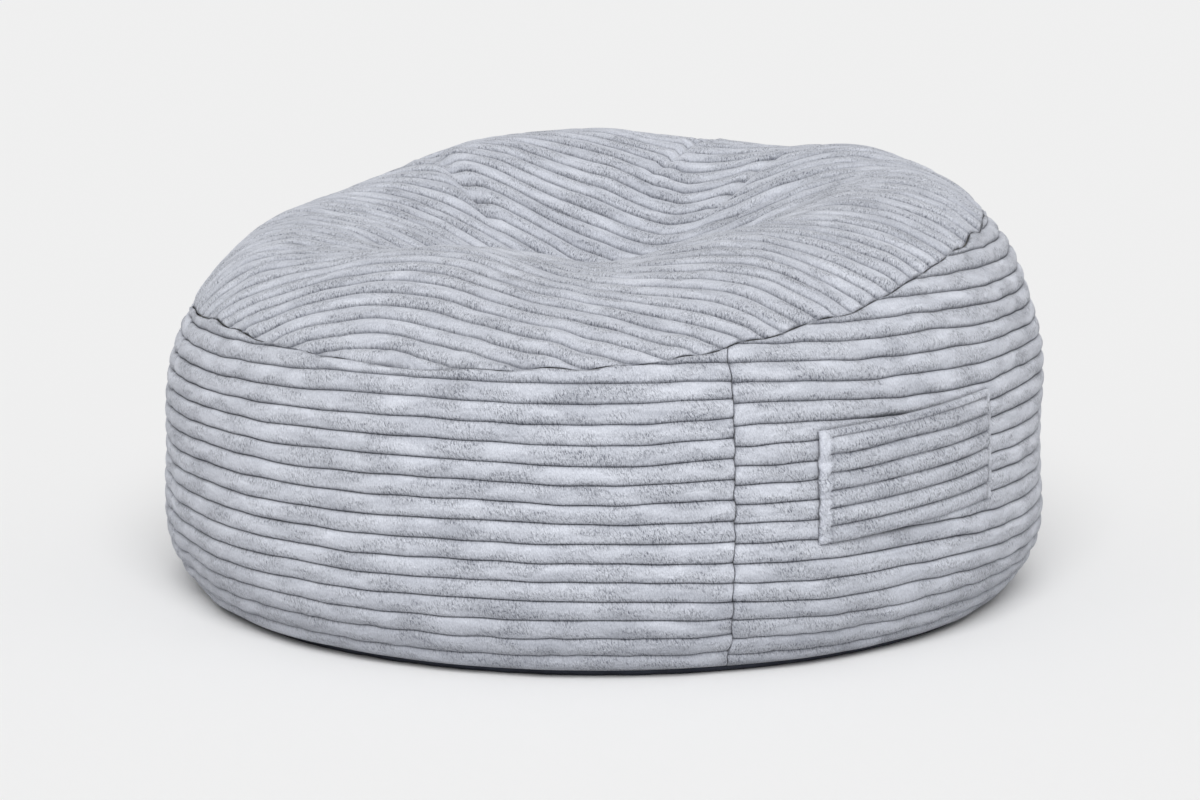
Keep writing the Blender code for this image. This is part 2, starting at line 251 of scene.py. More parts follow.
def pileGroup():
    group, start, end = newGroup(
        "brushedPile",
        [("Vector", "NodeSocketVector", (0, 0, 0)), ("Patchiness", "NodeSocketFloat", 1.0),
         ("UnderShadeAndRuffle", "NodeSocketFloat", 0.0)],
        ["Tone", "Height"],
    )
    vector, underShadeAndRuffle = start.outputs["Vector"], start.outputs["UnderShadeAndRuffle"]
    patches = sizedNoise(group, vector, pile["patchSize"], 4.0, 0.62, 0.5)
    places = sizedNoise(group, vector, pile["placeSize"])
    strands = sizedNoise(group, vector, pile["strandSize"], 2.0, 0.6, 0.9, pile["strandTurn"])
    hairs = sizedNoise(group, vector, pile["hairSize"], 2.0, 0.6, 0.4, pile["hairTurn"])
    raised = mathNode(group, "SUBTRACT", places, pile["ruffledFrom"])
    ruffled = mathNode(group, "MULTIPLY_ADD", raised, pile["ruffledGain"], 0.0, clamp=True)
    ruffled = mathNode(group, "MULTIPLY_ADD", underShadeAndRuffle, pile["lowSideRuffle"], ruffled, clamp=True)
    slow = mathNode(group, "MULTIPLY", mathNode(group, "SUBTRACT", patches, 0.5), start.outputs["Patchiness"])
    strength = mathNode(group, "ADD", ruffled, pile["strandLeast"])
    fine = mathNode(group, "MULTIPLY_ADD", mathNode(group, "SUBTRACT", strands, 0.5), strength, slow)
    finest = mathNode(group, "MULTIPLY_ADD", mathNode(group, "SUBTRACT", hairs, 0.5), pile["hairTone"], fine)
    gap = mathNode(group, "MULTIPLY_ADD", strands, pile["gapGain"], pile["gapFrom"], clamp=True)
    dark = mathNode(group, "MULTIPLY", gap, ruffled)
    worn = mathNode(group, "MULTIPLY_ADD", dark, pile["gapShade"], finest)
    # painted shade low on each rib
    shaded = mathNode(group, "MULTIPLY_ADD", underShadeAndRuffle, pile["lowSideShade"], worn)
    tone = mathNode(group, "ADD", shaded, pile["tone"], clamp=True)
    lifted = mathNode(group, "MULTIPLY_ADD", ruffled, pile["reliefGain"], pile["reliefLeast"])
    relief = mathNode(group, "MULTIPLY", strands, lifted)
    height = mathNode(group, "MULTIPLY_ADD", hairs, pile["hairRelief"], relief)
    group.links.new(tone, end.inputs["Tone"])
    group.links.new(height, end.inputs["Height"])
    return group


weave = dict(dustSize=(0.017, 0.017, 0.017), threadTone=0.12)


def weaveGroup():  # plain weave: warp and weft threads, one over the other
    group, start, end = newGroup(
        "threadWeave",
        [("Vector", "NodeSocketVector", (0, 0, 0)), ("Threads", "NodeSocketFloat", 900.0)],
        ["Tone", "Height"],
    )
    split = group.nodes.new("ShaderNodeSeparateXYZ")
    group.links.new(start.outputs["Vector"], split.inputs[0])
    threads = start.outputs["Threads"]
    warp = mathNode(group, "SINE", mathNode(group, "MULTIPLY", split.outputs[0], threads))
    weft = mathNode(group, "SINE", mathNode(group, "MULTIPLY", split.outputs[1], threads))
    over = mathNode(group, "MULTIPLY", warp, weft)
    dust = sizedNoise(group, start.outputs["Vector"], weave["dustSize"], 4.0, 0.6)
    tone = mathNode(group, "MULTIPLY_ADD", over, weave["threadTone"], dust, clamp=True)
    group.links.new(tone, end.inputs["Tone"])
    group.links.new(over, end.inputs["Height"])
    return group


groups = dict(pile=pileGroup(), weave=weaveGroup())
cloth = dict(specular=0.25, sheenRoughness=0.45, grooveBreak=-0.30, grooveFull=1.05)


def clothMaterial(name, effect, dark, light, roughness, relief, reliefDepth,
                  grooveShade=None, setting=(), sheen=0.0, metallic=0.0, coords="uv"):
    material = bpy.data.materials.new(name)
    material.use_nodes = True
    tree = material.node_tree
    shader = tree.nodes["Principled BSDF"]
    if coords == "uv":
        source = tree.nodes.new("ShaderNodeUVMap")
        source.uv_map = "cord"
        vector = source.outputs["UV"]
    else:
        vector = tree.nodes.new("ShaderNodeTexCoord").outputs["Object"]
    group = tree.nodes.new("ShaderNodeGroup")
    group.node_tree = groups[effect]
    tree.links.new(vector, group.inputs["Vector"])
    for label, value in setting:
        group.inputs[label].default_value = value
    colour = tree.nodes.new("ShaderNodeMix")
    colour.data_type = "RGBA"
    colour.inputs[6].default_value = (*dark, 1)
    colour.inputs[7].default_value = (*light, 1)
    tree.links.new(group.outputs["Tone"], colour.inputs[0])
    result = colour.outputs[2]
    # painted shade in grooves, seams and edges, from a mask on the mesh; the rib mask also feeds the pile
    if grooveShade:
        side = tree.nodes.new("ShaderNodeAttribute")
        side.attribute_name = "underShadeAndRuffle"
        tree.links.new(side.outputs["Fac"], group.inputs["UnderShadeAndRuffle"])
        mask = tree.nodes.new("ShaderNodeAttribute")
        mask.attribute_name = "grooveShade"
        shade = tree.nodes.new("ShaderNodeMix")
        shade.data_type = "RGBA"
        shade.inputs[7].default_value = (*grooveShade, 1)
        broken = mathNode(
            tree, "MULTIPLY_ADD", group.outputs["Tone"], cloth["grooveBreak"], cloth["grooveFull"]
        )
        tree.links.new(mathNode(tree, "MULTIPLY", mask.outputs["Fac"], broken, clamp=True), shade.inputs[0])
        tree.links.new(result, shade.inputs[6])
        result = shade.outputs[2]
    tree.links.new(result, shader.inputs["Base Color"])
    bump = tree.nodes.new("ShaderNodeBump")
    bump.inputs["Strength"].default_value = relief
    bump.inputs["Distance"].default_value = reliefDepth
    tree.links.new(group.outputs["Height"], bump.inputs["Height"])
    tree.links.new(bump.outputs["Normal"], shader.inputs["Normal"])
    shader.inputs["Roughness"].default_value = roughness
    shader.inputs["Metallic"].default_value = metallic
    shader.inputs["Specular IOR Level"].default_value = cloth["specular"]
    shader.inputs["Sheen Weight"].default_value = sheen
    shader.inputs["Sheen Roughness"].default_value = cloth["sheenRoughness"]
    return material


finishes = dict(
    plush=clothMaterial(
        "plushCord", "pile", (0.145, 0.157, 0.196), (0.722, 0.748, 0.822), 0.92, 0.85, 0.0030,
        # the dark colour of the painted shade in the grooves and seams
        grooveShade=(0.065, 0.071, 0.095), setting=[("Patchiness", 1.0)], sheen=0.25,
    ),
    base=clothMaterial(
        "baseCloth", "weave", (0.012, 0.014, 0.022), (0.045, 0.050, 0.070), 0.8, 0.5, 0.0004,
        setting=[("Threads", 2600.0)], coords="object",
    ),
    tape=clothMaterial(
        "zipTape", "weave", (0.020, 0.022, 0.030), (0.070, 0.075, 0.095), 0.75, 0.5, 0.0002,
        setting=[("Threads", 6000.0)], coords="object",
    ),
    coil=clothMaterial(
        "zipCoil", "weave", (0.020, 0.022, 0.028), (0.050, 0.052, 0.062), 0.38, 0.1, 0.0001,
        setting=[("Threads", 900.0)], coords="object",
    ),
    metal=clothMaterial(
        "zipMetal", "weave", (0.300, 0.305, 0.315), (0.560, 0.565, 0.580), 0.35, 0.06, 0.0001,
        setting=[("Threads", 400.0)], metallic=1.0, coords="object",
    ),
    liner=clothMaterial(
        "linerCloth", "weave", (0.560, 0.565, 0.575), (0.800, 0.805, 0.810), 0.85, 0.4, 0.0003,
        setting=[("Threads", 3600.0)], coords="object",
    ),
    foam=clothMaterial(
        "shreddedFoam", "pile", (0.480, 0.430, 0.300), (0.860, 0.820, 0.660), 0.95, 0.9, 0.0030,
        setting=[("Patchiness", 1.6)], coords="object",
    ),
    label=clothMaterial(
        "satinLabel", "weave", (0.720, 0.720, 0.715), (0.880, 0.880, 0.875), 0.45, 0.3, 0.0001,
        setting=[("Threads", 7000.0)],
    ),
)


def finish(piece, material, body, slotName, *nodes):
    piece.data.materials.clear()
    piece.data.materials.append(finishes[material])
    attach(piece, body)
    if nodes:
        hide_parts(*nodes)


# The swelling of the cover: a closed bag of cloth under pressure, held at its seams

swell = dict(
    around=240, rings=140, pressure=4.0, lastFrame=20, cap=0.005, inwardCap=0.0015, slackness=-0.012,
    foot=0.26, shoulder=0.52,  # shares of the way up, from under the middle
    seamAngles=(45, 135, 225, 315),
    seamShare=0.006, seamTurn=1.0, footShare=0.01, bowlHeld=0.5, bowlFrom=0.74, bowlFade=0.12,
)


def bagShape(turn, share, depth, floorLevel, topGap):  # share: 0 under the middle, 1 at the bowl's floor
    foot, shoulder = swell["foot"], swell["shoulder"]
    up = np.clip((share - foot) / (shoulder - foot), 0, 1)
    height = floorLevel + up * (seamHeight(turn) - topGap - floorLevel)
    rim = wallPoints(turn, height, -depth)
    flat = rim * np.clip(share / foot, 0, 1)[..., None]
    flat[..., 2] = floorLevel
    x, y = (rim[..., k] * np.clip((1 - share) / (1 - shoulder), 0, 1) for k in (0, 1))
    top = np.stack([x, y, seatHeight(x, y)], -1) - seatNormals(x, y) * depth
    return np.where((share < foot)[..., None], flat, np.where((share < shoulder)[..., None], rim, top))


def sphereSpots(bm):  # azimuth and share of each point of a sphere
    places = np.array([vert.co for vert in bm.verts])
    turn = np.degrees(np.arctan2(places[:, 0], -places[:, 1])) % 360
    return turn, np.arccos(np.clip(-places[:, 2], -1, 1)) / math.pi


def simulateSwelling():
    rings, count = swell["rings"], swell["around"]
    table = np.zeros((rings + 1, count, 3))
    bm = bmesh.new()
    bmesh.ops.create_uvsphere(bm, u_segments=count, v_segments=rings, radius=1.0)
    turn, share = sphereSpots(bm)
    start = bagShape(turn, share, 0.0, form["hemHeight"], form["seamGap"])
    for vert, point in zip(bm.verts, start):
        vert.co = point
    bmesh.ops.recalc_face_normals(bm, faces=bm.faces)
    bag = meshObject("swellingBag", bm)
    onSeam = np.abs(share - swell["shoulder"]) < swell["seamShare"]
    onWall = (share > swell["foot"]) & (share < swell["shoulder"])
    for seam in swell["seamAngles"]:
        onSeam |= onWall & (np.abs(turn - seam) < swell["seamTurn"])
    hold = np.where(onSeam | (share < swell["foot"] + swell["footShare"]), 1.0, 0.0)
    inBowl = np.clip((share - swell["bowlFrom"]) / swell["bowlFade"], 0, 1)
    hold = np.maximum(hold, swell["bowlHeld"] * inBowl)
    group = bag.vertex_groups.new(name="held")
    for index in np.nonzero(hold)[0]:
        group.add([int(index)], float(hold[index]), "REPLACE")
    fabric = bag.modifiers.new("cloth", "CLOTH")
    fabric.settings.vertex_group_mass = "held"
    fabric.settings.use_pressure = True
    fabric.settings.uniform_pressure_force = swell["pressure"]
    fabric.settings.shrink_min = swell["slackness"]
    fabric.settings.effector_weights.gravity = 0.0
    fabric.settings.quality = 4
    fabric.collision_settings.use_collision = False
    fabric.point_cache.frame_start = 1
    fabric.point_cache.frame_end = swell["lastFrame"]
    scene = bpy.context.scene
    for frameNumber in range(1, swell["lastFrame"] + 1):
        scene.frame_set(frameNumber)
    moved = bag.evaluated_get(bpy.context.evaluated_depsgraph_get()).to_mesh()
    after = np.zeros(len(start) * 3)
    moved.vertices.foreach_get("co", after)
    shift = after.reshape(-1, 3) - start
    bpy.data.objects.remove(bag)
    scene.frame_set(1)
    away = start - np.array(form["middle"])
    outward = (shift * away).sum(1) / np.linalg.norm(away, axis=1)
    cap = np.where(outward < 0, swell["inwardCap"], swell["cap"])
    shift /= (1 + np.linalg.norm(shift, axis=1) / cap)[:, None]
    ring = np.round(share * rings).astype(int)
    column = np.round(turn / 360 * count).astype(int) % count
    table[ring, column] = shift
    table[0] = table[0].sum(0)
    table[rings] = table[rings].sum(0)
    print("cover swollen, most", round(float(np.linalg.norm(shift, axis=1).max()) * 1000, 1), "mm")
    return table


def swelling(angle, share):  # the cover's simulated movement at an azimuth and share
    u = (np.asarray(angle) % 360) / 360 * swell["around"]
    v = np.clip(share, 0, 1) * (swell["rings"] - 0.001)
    i, j = np.floor(u).astype(int), np.floor(v).astype(int)
    u, v = (u - i)[..., None], (v - j)[..., None]
    i, after = i % swell["around"], (i + 1) % swell["around"]
    low = swellTable[j, i] * (1 - u) + swellTable[j, after] * u
    high = swellTable[j + 1, i] * (1 - u) + swellTable[j + 1, after] * u
    return low * (1 - v) + high * v


def wallSwelling(angle, height):
    low = form["hemHeight"]
    up = np.clip((height - low) / (seamHeight(angle) - form["seamGap"] - low), 0, 1)
    return swelling(angle, swell["foot"] + up * (swell["shoulder"] - swell["foot"]))


def seatSwelling(x, y):
    angle = np.degrees(np.arctan2(x, -y))
    inward = np.clip(np.hypot(x, y) / (seamRadius(angle) - form["seamGap"]), 0, 1)
    return swelling(angle, 1 - (1 - swell["shoulder"]) * inward)


# Creases of the seat: points in plan, and the side of the path that is gathered

creases = [
    dict(name="dart",
         path=[(-0.030, 0.470), (-0.044, 0.345), (-0.046, 0.280), (-0.056, 0.232), (-0.070, 0.185)],
         depth=0.0065, width=0.0055, fade=0.45, gathers=0.0012),
    dict(name="upperFold",
         path=[(0.095, 0.280), (0.070, 0.222), (0.050, 0.190), (0.015, 0.172)],
         depth=0.0055, width=0.0085, fade=0.5, gathers=0.0),
    dict(name="lowerFold",
         path=[(0.190, 0.198), (0.123, 0.176), (0.085, 0.162), (0.040, 0.155)],
         depth=0.0055, width=0.0085, fade=0.5, gathers=0.0),
    dict(name="leftFold",
         path=[(-0.330, 0.120), (-0.270, 0.080), (-0.236, 0.064), (-0.200, 0.045), (-0.160, 0.010)],
         depth=0.0080, width=0.0105, fade=0.4, gathers=0.0),
    dict(name="frontFold",
         path=[(-0.210, -0.200), (-0.160, -0.130), (-0.110, -0.090)],
         depth=0.006, width=0.022, fade=0.6, gathers=0.0),
]
bulge = dict(height=0.2, place=2.2, width=1.4)  # beside a crease, in shares of its depth and width
gather = dict(pitch=0.011, place=0.012)


def creaseDrop(x, y):
    drop = np.zeros_like(x)
    for crease in creases:
        path = np.array(crease["path"])
        steps = np.linalg.norm(np.diff(path, axis=0), axis=1)
        total, passed = steps.sum(), 0.0
        nearest = np.full(x.shape, 9.0)
        along = np.zeros_like(x)
        side = np.zeros_like(x)
        for start, stop, length in zip(path[:-1], path[1:], steps):
            way = (stop - start) / length
            t = np.clip((x - start[0]) * way[0] + (y - start[1]) * way[1], 0, length)
            dx, dy = x - start[0] - t * way[0], y - start[1] - t * way[1]
            distance = np.hypot(dx, dy)
            closer = distance < nearest
            nearest = np.where(closer, distance, nearest)
            along = np.where(closer, passed + t, along)
            side = np.where(closer, np.sign(way[0] * dy - way[1] * dx), side)
            passed += length
        fade = np.clip((total - along) / (crease["fade"] * total), 0, 1)
        fade = fade * fade * (3 - 2 * fade)
        valley = np.exp(-((nearest / crease["width"]) ** 2))
        beside = (nearest - bulge["place"] * crease["width"]) / (bulge["width"] * crease["width"])
        drop += fade * crease["depth"] * (valley - bulge["height"] * np.exp(-(beside**2)))
        if crease["gathers"]:
            ripple = np.sin(along * 2 * math.pi / gather["pitch"])
            ripple *= np.exp(-((nearest - gather["place"]) / gather["place"]) ** 2)
            drop += crease["gathers"] * fade * ripple * (side < 0)
    return drop


def seatHeight(x, y):
    return topHeight(x, y) - creaseDrop(x, y)


# The seat panel: its rows are the ribs, which run across the chair and follow the bowl

seat = dict(
    tableSize=321, reach=0.56, columns=112, dartShare=0.44, dartWidth=0.06, dartGain=2.0,
    turn=8.0, backTurn=10.0, backReach=0.4, sideDroop=0.05, droopReach=0.5,
    # the next line also sets how strong the painted shade low on each rib is on the seat
    wobble=0.0030, wobbleLength=0.16, uneven=0.18, unevenLength=0.07, underShadeAndRuffle=0.6, seamFade=0.05,
    normalStep=0.002, edgeStep=0.25, flat=(1.10, 1.10), area=0.93,
)


def ribTable():
    axis = np.linspace(-seat["reach"], seat["reach"], seat["tableSize"])
    x, y = np.meshgrid(axis, axis, indexing="ij")
    slope = np.gradient(topHeight(x, y), axis, axis=1)
    run = np.cumsum(np.sqrt(1 + slope**2), axis=1) * (axis[1] - axis[0])
    run -= run[:, seat["tableSize"] // 2][:, None]
    turned = math.tan(math.radians(seat["turn"])) * x
    back = np.clip(y / seat["backReach"], 0, 1)
    turned += math.tan(math.radians(seat["backTurn"])) * x * back**2
    droop = seat["sideDroop"] * (x / seat["droopReach"]) ** 2
    wobble = seat["wobble"] * waves(np.stack([x, y], -1), seat["wobbleLength"], 21)
    wobble += cord["wander"] * waves(np.stack([x, y], -1), cord["wanderLength"], 22)
    return axis, run - turned + droop + wobble


def lookUp(table, axis, x, y):
    step = axis[1] - axis[0]
    u = np.clip((x - axis[0]) / step, 0, len(axis) - 1.001)
    v = np.clip((y - axis[0]) / step, 0, len(axis) - 1.001)
    i, j = u.astype(int), v.astype(int)
    u, v = u - i, v - j
    low = table[i, j] * (1 - u) + table[i + 1, j] * u
    high = table[i, j + 1] * (1 - u) + table[i + 1, j + 1] * u
    return low * (1 - v) + high * v


def seatLayout(columns, rowsWanted=None):  # places in plan, row by row, on the ribs or evenly spaced
    axis, table = ribTable()
    angles = np.arange(0, 360, seat["edgeStep"])
    edge = seamRadius(angles) - form["seamGap"]
    edgeX, edgeY = edge * np.sin(np.radians(angles)), -edge * np.cos(np.radians(angles))
    edgeRow = lookUp(table, axis, edgeX, edgeY)
    low, high = edgeRow.argmin(), edgeRow.argmax()
    if rowsWanted is None:
        inner = ribRows(edgeRow[low] + 0.0002, edgeRow[high] - 0.0002, cord["pitch"])
    else:
        inner = np.linspace(edgeRow[low], edgeRow[high], rowsWanted + 2)[1:-1]
    depth = np.stack([np.interp(inner, column, axis) for column in table])
    x = axis[:, None]
    over = np.hypot(x, depth) - (seamRadius(np.degrees(np.arctan2(x, -depth))) - form["seamGap"])
    points = np.zeros((len(inner) + 2, len(columns), 2))
    for k in range(len(inner)):
        inside = np.nonzero(over[:, k] < 0)[0]
        if len(inside) == 0:
            pole = low if k < len(inner) / 2 else high
            points[k + 1] = (edgeX[pole], edgeY[pole])
            continue
        a, b = inside[0], inside[-1]
        left = np.interp(0, [over[a, k], over[a - 1, k]], [axis[a], axis[a - 1]])
        right = np.interp(0, [over[b, k], over[b + 1, k]], [axis[b], axis[b + 1]])
        across = left + (right - left) * columns
        points[k + 1, :, 0] = across
        points[k + 1, :, 1] = np.interp(across, axis, depth[:, k])
    points[0] = (edgeX[low], edgeY[low])
    points[-1] = (edgeX[high], edgeY[high])
    rows = np.concatenate([[edgeRow[low]], inner, [edgeRow[high]]])
    return points, rows


def seatNormals(x, y):
    step = seat["normalStep"]
    gx = (seatHeight(x + step, y) - seatHeight(x - step, y)) / (2 * step)
    gy = (seatHeight(x, y + step) - seatHeight(x, y - step)) / (2 * step)
    normal = np.stack([-gx, -gy, np.ones_like(gx)], -1)
    return normal / np.linalg.norm(normal, axis=-1)[..., None]


# shares of a row, closer together at its ends and round a centre
def denseColumns(count, edgeGain=3.0, centre=0.5, width=0.2, gain=0.0):
    edgeWidth = 0.008
    fine = np.linspace(0, 1, 4001)
    density = 1 + gain * np.exp(-(((fine - centre) / width) ** 2))
    density += edgeGain * (np.exp(-(fine / edgeWidth)) + np.exp(-((1 - fine) / edgeWidth)))
    total = np.cumsum(density)
    total = (total - total[0]) / (total[-1] - total[0])
    return np.interp(np.linspace(0, 1, count), total, fine)


topSeam = dict(
    tugLength=0.034, fineLength=0.013, fineTug=0.6, reach=0.022, seatTug=0.0012, wallTug=0.0016,
    line=0.0026, shade=0.42, shadeGain=0.55, shadeLeast=0.1, dotPower=2.5,
)


def seamPucker(angle):  # the tugs of the thread along the top seam
    ring = np.stack([np.sin(np.radians(angle)), np.cos(np.radians(angle))], -1) * form["seamRadius"]
    fine = topSeam["fineTug"] * waves(ring, topSeam["fineLength"], 32)
    return waves(ring, topSeam["tugLength"], 31) + fine


def seamShade(angle, edge):  # painted shade along the top seam, deeper where the thread tugs
    tug = topSeam["shade"] + topSeam["shadeGain"] * seamPucker(angle)
    return np.clip(tug, topSeam["shadeLeast"], 1) * (1 - rounded(edge, topSeam["line"]))


def grooveEndShade(across, edge, width):  # painted shade: the dark dots where grooves run into a seam
    return across ** topSeam["dotPower"] * np.exp(-((edge / width) ** 2))


def buildSeat():
    columns = denseColumns(seat["columns"], centre=seat["dartShare"], width=seat["dartWidth"],
                           gain=seat["dartGain"])
    plan, rows = seatLayout(columns)
    x, y = plan[..., 0], plan[..., 1]
    angle = np.degrees(np.arctan2(x, -y))
    edge = np.maximum(0, seamRadius(angle) - form["seamGap"] - np.hypot(x, y))
    place = np.broadcast_to(rows[:, None], x.shape)
    surface = np.stack([x, y, seatHeight(x, y)], -1)
    normal = seatNormals(x, y)
    end = rounded(edge, cord["endRound"])
    rise = cord["height"] * ribRise(place, cord["pitch"]) * ribHeightNear(end)
    rise *= 1 + seat["uneven"] * waves(np.stack([x, place], -1), seat["unevenLength"], 41)
    offset = rise * end - cord["sink"] * end
    offset += softLump(surface) * np.clip(edge / seat["seamFade"], 0, 1)
    offset += topSeam["seatTug"] * seamPucker(angle) * np.exp(-edge / topSeam["reach"]) * end
    points = surface + normal * offset[..., None] + seatSwelling(x, y)
    across = ribAcross(place, cord["pitch"])
    # painted shade in the grooves, along the top seam and at the groove ends; painted shade and ruffle low on
    # each rib
    grooveShade = np.maximum(across**9, seamShade(angle, edge))
    grooveShade = np.maximum(grooveShade, grooveEndShade(across, edge, 0.0045))
    uv = np.stack([x + 3.0, place], -1)  # moved aside, so that the pile differs from the wall's
    layers = dict(grooveShade=grooveShade, underShadeAndRuffle=seat["underShadeAndRuffle"] * ribUnderShade(place, cord["pitch"]))
    piece = gridObject("seat_cover", points, uv, layers, thickness=cord["thickness"])
    finish(piece, "plush", "bag", "plush_cord", "seat_panel")
    print("seat cover", len(piece.data.vertices), "points")


# The wall: four panels whose ribs run round the bag, cut by the sloping top seam

wall = dict(
    columns=131, edgeGain=7.0, tableSize=160, normalStep=0.001, margin=0.006,
    wobble=0.0026, wobbleLength=0.24, uneven=0.15, unevenLength=0.09, seamFade=0.05, hemRound=0.010,
    seamJitter=0.0016, jitterLength=0.022, jitterReach=0.02, sideLine=0.0020,
    # the next line also sets the painted shade at the foot of the wall: its strength and its reach
    hemShadeReach=0.017, paintedFootShade=0.40, footShadeReach=0.085, underPocket=0.8, flat=(0.85, 0.47), area=0.36,
)
pocket = dict(
    angles=(55.2, 83.6), bottom=(0.142, 0.160), top=(0.266, 0.286), width=0.267, length=0.126,
    thickness=0.0020, clothThickness=0.0022, gap=0.0060, stand=0.0005, sideCurve=0.60, riseCurve=0.35,
    columns=81, edgeGain=6.0, pitch=0.0198, ribHeight=0.0062, bend=0.0012, bendLength=0.12, edgeRound=0.004,
    strip=0.011, stripRound=0.0055, stripRise=0.0010, beadRise=0.0050, ragged=0.005, raggedLength=0.020,
    # the next line also sets the pocket's darker nap, added to the painted shade low on each rib
    hem=0.0075, hemRise=0.0052, hemRound=0.004, stitch=0.0064, line=0.0022, napAndRibShade=0.5,
    coverMargin=0.002, coverFade=0.008, flat=(0.29, 0.155),
)


def pocketEdge(side, across):  # the height of its lower or upper edge, which slopes
    first, last = pocket[side]
    return first + (last - first) * across


def pocketCover(angle, height):  # 1 under the pocket, 0 away from it
    first, last = pocket["angles"]
    share = np.clip((angle - first) / (last - first), 0, 1)
    upright = np.minimum(height - pocketEdge("bottom", share), pocketEdge("top", share) - height)
    sideways = np.minimum(angle - first, last - angle) * math.radians(form["bagRadius"])
    soft = np.clip((np.minimum(sideways, upright) + pocket["coverMargin"]) / pocket["coverFade"], 0, 1)
    return soft * soft * (3 - 2 * soft)


def wallTable(angle):
    heights = np.linspace(form["hemHeight"], seamHeight(angle) - form["seamGap"], wall["tableSize"])
    radii = wallRadius(angle, heights)
    steps = np.hypot(np.diff(heights), np.diff(radii))
    return np.concatenate([[0], np.cumsum(steps)]), heights


def wallPoints(angle, height, offset):
    step = wall["normalStep"]
    slope = (wallRadius(angle, height + step) - wallRadius(angle, height - step)) / (2 * step)
    length = np.sqrt(1 + slope**2)
    radius = wallRadius(angle, height) + offset / length
    turn = np.radians(angle)
    return np.stack([radius * np.sin(turn), -radius * np.cos(turn), height - offset * slope / length], -1)


def seamShift(edgeAngle, place):  # sideways wander of an upright seam, in metres
    spots = np.stack([place, np.full_like(place, edgeAngle)], -1)
    return wall["seamJitter"] * waves(spots, wall["jitterLength"], 51)


def buildWallPanel(name, node, centre, ribShift, hemShade):
    first, last = centre - 45, centre + 45
    angles = first + 90 * denseColumns(wall["columns"], wall["edgeGain"])
    tables = [wallTable(angle) for angle in angles]
    longest = max(table[0][-1] for table in tables)
    rows = ribRows(-wall["margin"], longest + wall["margin"], cord["pitch"])
    place, angle = np.meshgrid(rows, angles, indexing="ij")
    ring = np.stack([np.sin(np.radians(angle)) * 0.5, np.cos(np.radians(angle)) * 0.5, place * 1.6], -1)
    run = place - wall["wobble"] * waves(ring, wall["wobbleLength"], 61 + centre)
    run += ribShift - cord["wander"] * waves(ring, cord["wanderLength"], 62 + centre)
    total = np.array([table[0][-1] for table in tables])[None, :]
    run = np.clip(run, 0, total)
    height = np.stack([np.interp(run[:, k], *tables[k]) for k in range(len(angles))], 1)
    radius = wallRadius(angle, height)
    side = (45 - np.abs(angle - centre)) * np.radians(radius)
    pull = np.zeros_like(run)
    for seam in (first, last):
        nearby = np.exp(-(np.abs(angle - seam) * np.radians(radius)) / wall["jitterReach"])
        pull += nearby * seamShift(seam, run)
    turned = angle + np.degrees(pull / radius)
    topEnd = rounded(total - run, cord["endRound"])
    sideDip = 1 - cord["sideDip"] * (1 - rounded(side, cord["sideRound"]))
    end = topEnd * rounded(run, wall["hemRound"]) * sideDip
    flattened = 1 - wall["underPocket"] * pocketCover(angle, height)
    rise = cord["height"] * ribRise(place, cord["pitch"]) * flattened
    rise *= 1 + wall["uneven"] * waves(ring, wall["unevenLength"], 71)
    base = wallPoints(turned, height, 0.0)
    offset = rise * ribHeightNear(end) * end - cord["sink"] * topEnd
    fade = wall["seamFade"]
    offset += softLump(base) * np.clip((total - run) / fade, 0, 1) * np.clip(run / fade, 0, 1)
    offset += topSeam["wallTug"] * seamPucker(angle) * np.exp(-(total - run) / topSeam["reach"]) * end
    points = wallPoints(turned, height, offset) + wallSwelling(angle, height)
    across = ribAcross(place, cord["pitch"])
    # painted shade in the grooves, along the upright seams, at the groove ends, along the top seam and at the
    # hem
    grooveShade = np.maximum(across**13, (0.12 + 0.6 * across) * (1 - rounded(side, wall["sideLine"])))
    grooveShade = np.maximum(grooveShade, grooveEndShade(across, side, 0.0042))
    grooveShade = np.maximum(grooveShade, seamShade(angle, total - run))
    grooveShade = np.maximum(grooveShade, hemShade * np.exp(-((run / wall["hemShadeReach"]) ** 2)))
    # painted shade, darker towards the foot of the wall
    grooveShade = np.maximum(grooveShade, wall["paintedFootShade"] * np.exp(-((run / wall["footShadeReach"]) ** 2)))
    uv = np.stack([np.radians(angle) * form["bagRadius"], place], -1)
    # painted shade and ruffle low on each rib
    layers = dict(grooveShade=grooveShade, underShadeAndRuffle=ribUnderShade(place, cord["pitch"]))
    piece = gridObject(name, points, uv, layers, thickness=cord["thickness"])
    finish(piece, "plush", "bag", "plush_cord", node)
    print(name, len(piece.data.vertices), "points")


# The side pocket: a patch sewn on three sides, open along its hemmed top

def pocketPoint(across, up, lift):
    first, last = pocket["angles"]
    angle = first + (last - first) * across
    bottom = pocketEdge("bottom", across)
    height = bottom + up * (pocketEdge("top", across) - bottom)
    hold = np.clip(4 * across * (1 - across), 0, 1) ** pocket["sideCurve"]
    full = hold * np.clip(up, 0, 1) ** pocket["riseCurve"]
    offset = pocket["stand"] + pocket["gap"] * full + pocket["thickness"] + lift
    return wallPoints(angle, height, offset) + wallSwelling(angle, height)


